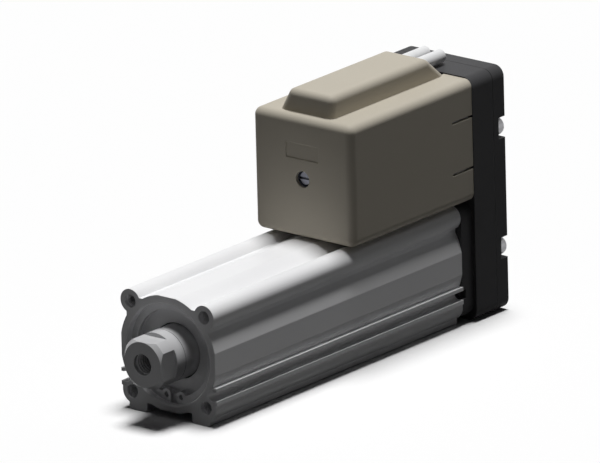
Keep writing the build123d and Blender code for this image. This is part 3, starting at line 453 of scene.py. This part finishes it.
def threadTree(name, finish):
    # a ridge that winds up the wall of a hole, from its mouth inwards, thin at both ends
    tree = startTree(name, "Hole Mouths", ("Hole Radius", "Pitch", "Turns", "Ridge Height"))
    tree.interface.new_socket("Hole Turn", in_out="INPUT", socket_type="NodeSocketVector")
    given = tree.nodes.new("NodeGroupInput")
    turns = given.outputs["Turns"]
    spiral = tree.nodes.new("GeometryNodeCurveSpiral")
    spiral.inputs["Resolution"].default_value = threadLook["stepsPerTurn"]
    linkNodes(tree, given, "Turns", spiral, "Rotations")
    linkNodes(tree, given, "Hole Radius", spiral, "Start Radius")
    linkNodes(tree, given, "Hole Radius", spiral, "End Radius")
    tree.links.new(mathNode(tree, "MULTIPLY", turns, given.outputs["Pitch"]), spiral.inputs["Height"])
    along = tree.nodes.new("GeometryNodeSplineParameter")
    run = mathNode(tree, "MULTIPLY", along.outputs["Factor"], turns)
    left = mathNode(tree, "SUBTRACT", turns, run)
    swell = mathNode(tree, "MINIMUM", mathNode(tree, "MINIMUM", run, left), 1.0)
    taper = tree.nodes.new("GeometryNodeSetCurveRadius")
    linkNodes(tree, spiral, "Curve", taper, "Curve")
    tree.links.new(mathNode(tree, "ADD", swell, threadLook["endShare"]), taper.inputs["Radius"])
    ridge = tree.nodes.new("GeometryNodeCurvePrimitiveCircle")
    ridge.inputs["Resolution"].default_value = threadLook["ridgeSides"]
    linkNodes(tree, given, "Ridge Height", ridge, "Radius")
    sweep = tree.nodes.new("GeometryNodeCurveToMesh")
    sweep.inputs["Fill Caps"].default_value = True
    linkNodes(tree, taper, "Curve", sweep, "Curve")
    linkNodes(tree, ridge, "Curve", sweep, "Profile Curve")
    place = tree.nodes.new("GeometryNodeInstanceOnPoints")
    linkNodes(tree, given, "Hole Mouths", place, "Points")
    linkNodes(tree, sweep, "Mesh", place, "Instance")
    linkNodes(tree, given, "Hole Turn", place, "Rotation")
    endTree(tree, place, finish)
    return tree


def makeThreads():
    mounts = {mount["name"]: mount for mount in frame["record"]["mounts"]}
    for name, thread in threadSets.items():
        mouths, outward, radius = holeMouths(mounts[thread["mount"]])
        starts = [mouth - outward * thread["entry"] * mm for mouth in mouths]
        turn = Vector((0, 0, 1)).rotation_difference(-outward).to_euler()
        values = {
            "Hole Radius": radius,
            "Pitch": thread["pitch"] * mm,
            "Turns": (thread["end"] - thread["entry"]) / thread["pitch"],
            "Ridge Height": threadLook["ridgeShare"] * thread["pitch"] * mm,
            "Hole Turn": tuple(turn),
        }
        tree = threadTree(name + "Tree", materials[thread["finish"]])
        growPiece(name, tree, starts, values, thread["body"])


makeThreads()


# The cut ends of the two leads: filler, insulated cores and bare strands. Sizes are in millimetres

leadCuts = {"places": [(-4.4, 156, 72), (2.6, 156, 72)], "buried": 0.6}
coreLook = {"sides": 20, "coresInRing": 6, "mergeWithin": 0.01}
leadEnds = {
    "lead_fillers": {"radius": 1.95, "proud": 0.06, "ringRadius": 0.0, "finish": "fillerPaper"},
    "lead_core_insulation": {"radius": 0.52, "proud": 0.5, "ringRadius": 1.22, "finish": "coreInsulation"},
    "lead_core_strands": {"radius": 0.3, "proud": 0.9, "ringRadius": 1.22, "finish": "tinnedCopper"},
}


def coreTree(name, finish):
    # a bundle of round cores about each point: one in the middle and a ring of others
    tree = startTree(name, "Lead Ends", ("Core Radius", "Core Length", "Ring Radius"))
    given = tree.nodes.new("NodeGroupInput")
    core = tree.nodes.new("GeometryNodeMeshCylinder")
    core.inputs["Vertices"].default_value = coreLook["sides"]
    linkNodes(tree, given, "Core Radius", core, "Radius")
    linkNodes(tree, given, "Core Length", core, "Depth")
    ring = tree.nodes.new("GeometryNodeMeshCircle")
    ring.inputs["Vertices"].default_value = coreLook["coresInRing"]
    linkNodes(tree, given, "Ring Radius", ring, "Radius")
    middle = tree.nodes.new("GeometryNodeMeshLine")
    middle.inputs["Count"].default_value = 1
    spots = tree.nodes.new("GeometryNodeJoinGeometry")
    linkNodes(tree, middle, "Mesh", spots, "Geometry")
    linkNodes(tree, ring, "Mesh", spots, "Geometry")
    merge = tree.nodes.new("GeometryNodeMergeByDistance")  # a ring of no radius leaves one core
    merge.inputs["Distance"].default_value = coreLook["mergeWithin"] * mm
    linkNodes(tree, spots, "Geometry", merge, "Geometry")
    bundle = tree.nodes.new("GeometryNodeInstanceOnPoints")
    linkNodes(tree, merge, "Geometry", bundle, "Points")
    linkNodes(tree, core, "Mesh", bundle, "Instance")
    place = tree.nodes.new("GeometryNodeInstanceOnPoints")
    place.inputs["Rotation"].default_value = (math.pi / 2, 0, 0)
    linkNodes(tree, given, "Lead Ends", place, "Points")
    linkNodes(tree, bundle, "Instances", place, "Instance")
    endTree(tree, place, finish)
    return tree


def makeLeadEnds():
    for name, layer in leadEnds.items():
        middle = (layer["proud"] - leadCuts["buried"]) / 2
        places = [(x * mm, (y + middle) * mm, z * mm) for x, y, z in leadCuts["places"]]
        values = {
            "Core Radius": layer["radius"] * mm,
            "Core Length": (layer["proud"] + leadCuts["buried"]) * mm,
            "Ring Radius": layer["ringRadius"] * mm,
        }
        tree = coreTree(name + "Tree", materials[layer["finish"]])
        growPiece(name, tree, places, values, "housing")


makeLeadEnds()
print("stage 3: threads and lead ends are made")


# A pale floor, a soft light overhead and a little fill from the sky

studio = {
    "floorHalfWidth": 4.0, "floorDrop": 0.00002,
    "floorSeen": (0.98, 0.98, 0.98), "floorBounce": (0.05, 0.05, 0.05),
    "sunStrength": 3.14, "sunAngle": 20, "sunTilt": (-5.0, 1.0, 0),
    "skySeen": (1.0, 1.0, 1.0), "skyFill": (0.014, 0.014, 0.0148),
}


def seenByEye(tree):
    # 1 for what the camera, a reflection or a see-through piece looks at, 0 for light that spreads
    path = tree.nodes.new("ShaderNodeLightPath")
    seen = mathNode(tree, "MAXIMUM", path.outputs["Is Camera Ray"], path.outputs["Is Glossy Ray"])
    return mathNode(tree, "MAXIMUM", seen, path.outputs["Is Transmission Ray"])


def makeFloor():
    half = studio["floorHalfWidth"]
    level = cadBox[0][2] - studio["floorDrop"]
    mesh = bpy.data.meshes.new("floorSheet")
    corners = [(-half, -half, level), (half, -half, level), (half, half, level), (-half, half, level)]
    mesh.from_pydata(corners, [], [(0, 1, 2, 3)])
    floor = bpy.data.objects.new("floorSheet", mesh)
    bpy.context.scene.collection.objects.link(floor)
    material, tree = startMaterial("paleFloor")
    shader = tree.nodes["Principled BSDF"]
    shader.inputs["Specular IOR Level"].default_value = 0.0
    shader.inputs["Roughness"].default_value = 1.0
    colour = blendColours(tree, seenByEye(tree), studio["floorBounce"], studio["floorSeen"])
    tree.links.new(colour, shader.inputs["Base Color"])
    mesh.materials.append(material)


def makeLight():
    lamp = bpy.data.lights.new("overheadSoftLight", "SUN")
    lamp.energy = studio["sunStrength"]
    lamp.angle = math.radians(studio["sunAngle"])
    holder = bpy.data.objects.new("overheadSoftLight", lamp)
    holder.rotation_euler = [math.radians(a) for a in studio["sunTilt"]]
    bpy.context.scene.collection.objects.link(holder)


def makeSky():
    world = bpy.data.worlds.new("studioSky")
    world.use_nodes = True
    tree = world.node_tree
    background = tree.nodes["Background"]
    colour = blendColours(tree, seenByEye(tree), studio["skyFill"], studio["skySeen"])
    tree.links.new(colour, background.inputs["Color"])
    bpy.context.scene.world = world


makeFloor()
makeLight()
makeSky()
bpy.context.scene.view_settings.view_transform = "Standard"
print("stage 4: floor and light are set")


# The camera stands where the photograph was taken from, far off with a long lens.
# Angles are in degrees, places in metres, lens and sensor in millimetres

cameraPlace = {
    "azimuth": 39.335, "elevation": 17.965, "roll": -1.470,
    "aim": (29.001 * mm, 40.833 * mm, 40.712 * mm), "distance": 7.0438,
    "lens": 1180.7, "sensor": 36.0, "clipStart": 0.1, "clipEnd": 100,
}


def makeCamera():
    azimuth = math.radians(cameraPlace["azimuth"])
    elevation = math.radians(cameraPlace["elevation"])
    roll = math.radians(cameraPlace["roll"])
    flat = math.cos(elevation)
    back = Vector((math.sin(azimuth) * flat, -math.cos(azimuth) * flat, math.sin(elevation)))
    level = Vector((math.cos(azimuth), math.sin(azimuth), 0))
    upright = back.cross(level)
    right = level * math.cos(roll) + upright * math.sin(roll)
    up = back.cross(right)
    lensData = bpy.data.cameras.new("photoCamera")
    lensData.lens = cameraPlace["lens"]
    lensData.sensor_width = cameraPlace["sensor"]
    lensData.clip_start = cameraPlace["clipStart"]
    lensData.clip_end = cameraPlace["clipEnd"]
    camera = bpy.data.objects.new("photoCamera", lensData)
    turn = Matrix((right, up, back)).transposed().to_4x4()
    place = Vector(cameraPlace["aim"]) + back * cameraPlace["distance"]
    camera.matrix_world = Matrix.Translation(place) @ turn
    bpy.context.scene.collection.objects.link(camera)
    bpy.context.scene.camera = camera


makeCamera()
print("stage 5: the camera is set")
